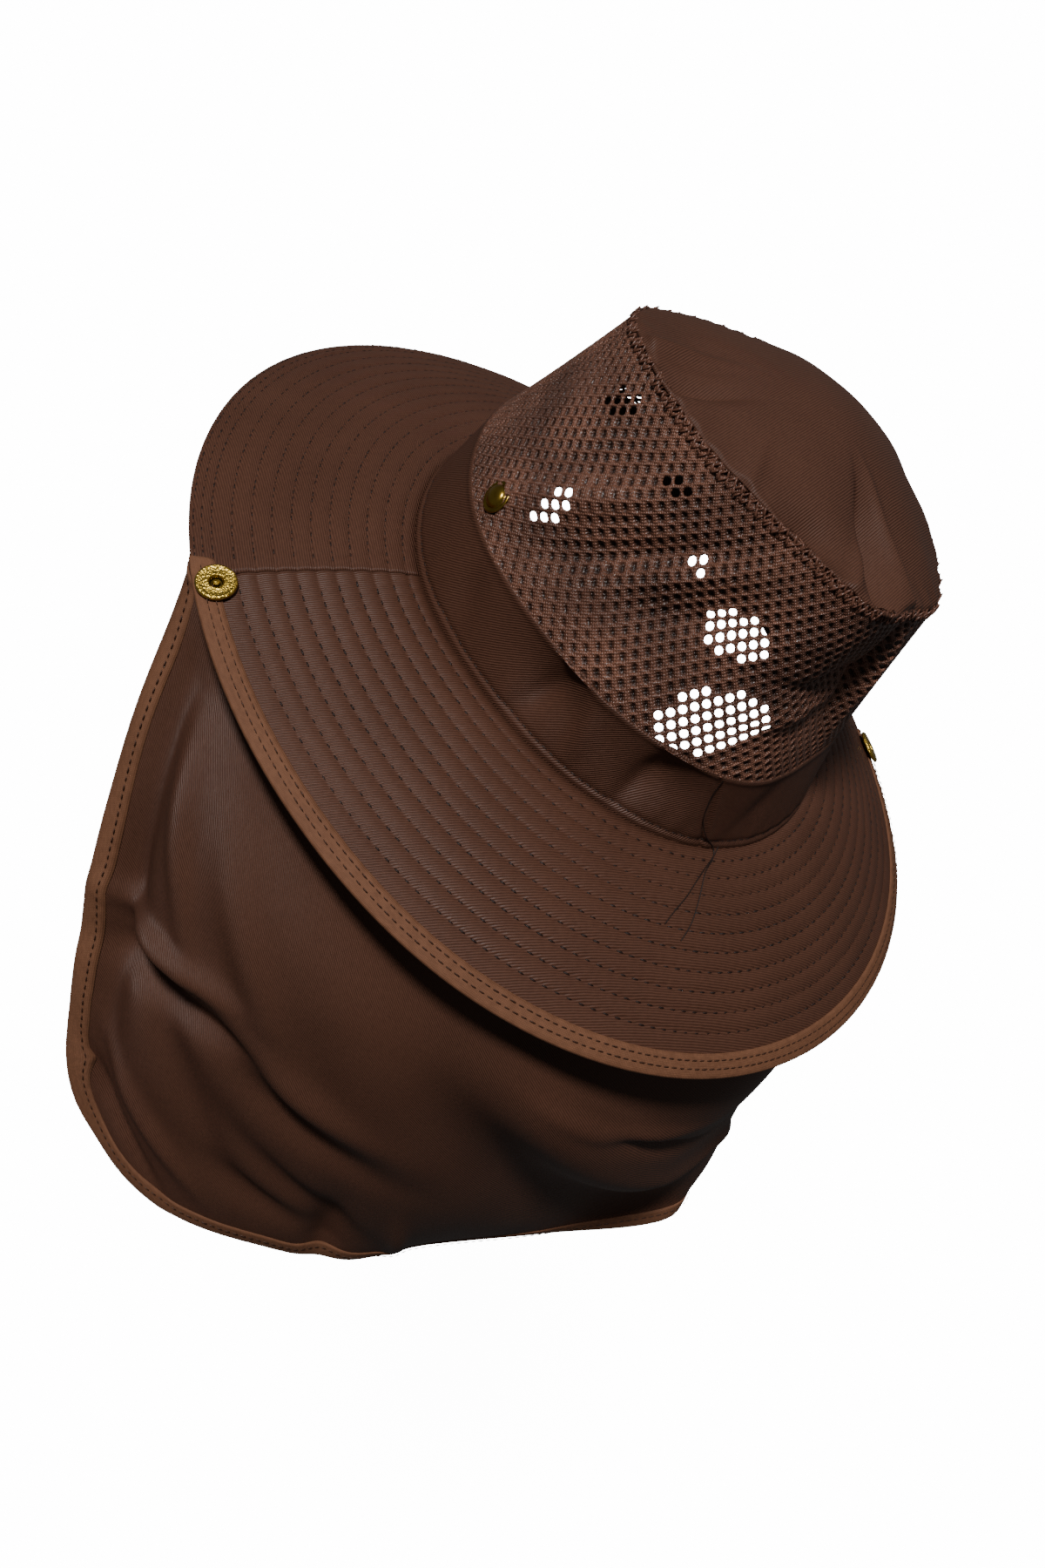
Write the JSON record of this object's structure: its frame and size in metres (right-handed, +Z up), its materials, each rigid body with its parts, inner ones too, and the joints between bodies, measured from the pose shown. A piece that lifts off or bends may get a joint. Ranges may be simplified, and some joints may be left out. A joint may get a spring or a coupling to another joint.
{
  "type": "flap sun hat",
  "caption": "Wide-brimmed cloth sun hat with a net crown wall, a long neck flap behind and brass snap fasteners on brim and crown.",
  "frame": {"origin": "centre of the head opening, in the plane of the crown's foot where the band meets the brim", "axes": "+Z up through the crown, face towards -Y, flap and neck towards +Y, +X the wearer's left"},
  "size_m": [0.3463, 0.3565, 0.3583],
  "materials": {
    "twill": "dark chocolate brown cotton twill with a fine diagonal rib and a slight sheen",
    "net": "brown knitted polyester net with hexagonal gaps and glossy strands",
    "tape": "lighter brown woven binding tape, matte",
    "brass": "bright yellow brass, worn and speckled on the ring"
  },
  "bodies": {
    "root": {"brim_back": "twill", "brim_binding": "tape", "brim_front": "twill", "brim_snap_left": "brass", "brim_snap_right": "brass", "crown_band": "twill", "crown_net": "net", "crown_stud_left": "brass", "crown_stud_right": "brass", "crown_top": "twill", "flap_binding": "tape", "neck_flap": "twill"}
  },
  "joints": []
}
